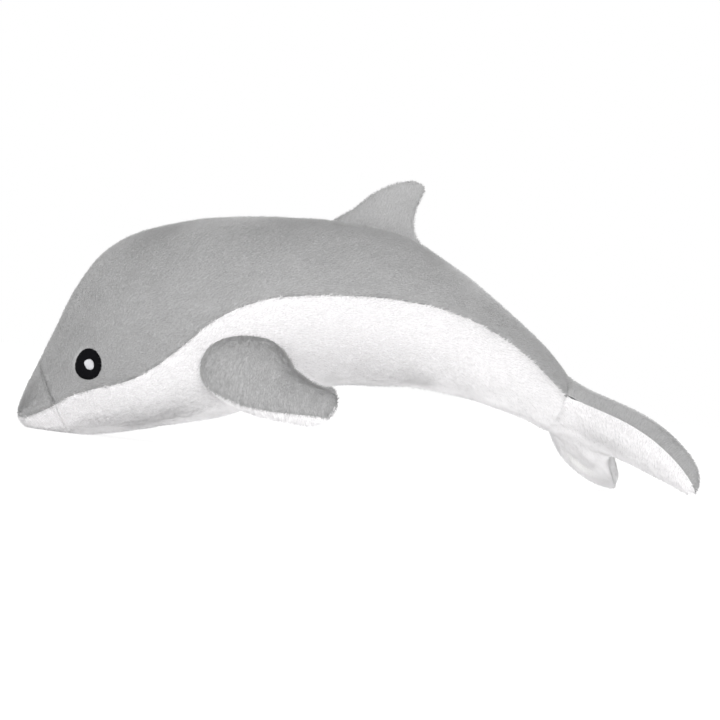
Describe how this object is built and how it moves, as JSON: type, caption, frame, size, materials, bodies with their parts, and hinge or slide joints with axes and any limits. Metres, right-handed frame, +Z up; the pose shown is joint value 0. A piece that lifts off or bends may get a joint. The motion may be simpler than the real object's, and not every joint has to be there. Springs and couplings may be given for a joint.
{
  "type": "plush dolphin",
  "caption": "Soft toy dolphin of short-pile fabric, grey above and white below, with stuffed flippers, back fin and tail flukes, resting in a leaping curve.",
  "frame": {"origin": "on the floor, under the middle of the toy's bounding box", "axes": "+Z up, -X towards the nose and +X towards the tail, -Y towards the toy's left side"},
  "size_m": [0.4186, 0.1718, 0.1779],
  "materials": {
    "grey_plush": "short grey plush pile, slightly mottled",
    "white_plush": "short white plush pile",
    "black_thread": "black satin-stitch embroidery",
    "silver_thread": "pale silver embroidery",
    "stuffing": "white polyester fibre filling"
  },
  "bodies": {
    "root": {"back_left": "grey_plush", "back_right": "grey_plush", "belly": "white_plush", "snout_top": "grey_plush", "snout_under": "white_plush", "dorsal_fin_left": "grey_plush", "dorsal_fin_right": "grey_plush", "flipper_left_top": "grey_plush", "flipper_left_under": "white_plush", "flipper_right_top": "grey_plush", "flipper_right_under": "white_plush", "fluke_top": "grey_plush", "fluke_under": "white_plush", "eye_ring_left": "black_thread", "eye_ring_right": "black_thread", "eye_light_left": "silver_thread", "eye_light_right": "silver_thread", "body_stuffing": "stuffing", "fin_stuffing": "stuffing", "flipper_left_stuffing": "stuffing", "flipper_right_stuffing": "stuffing", "fluke_stuffing": "stuffing"}
  },
  "joints": []
}
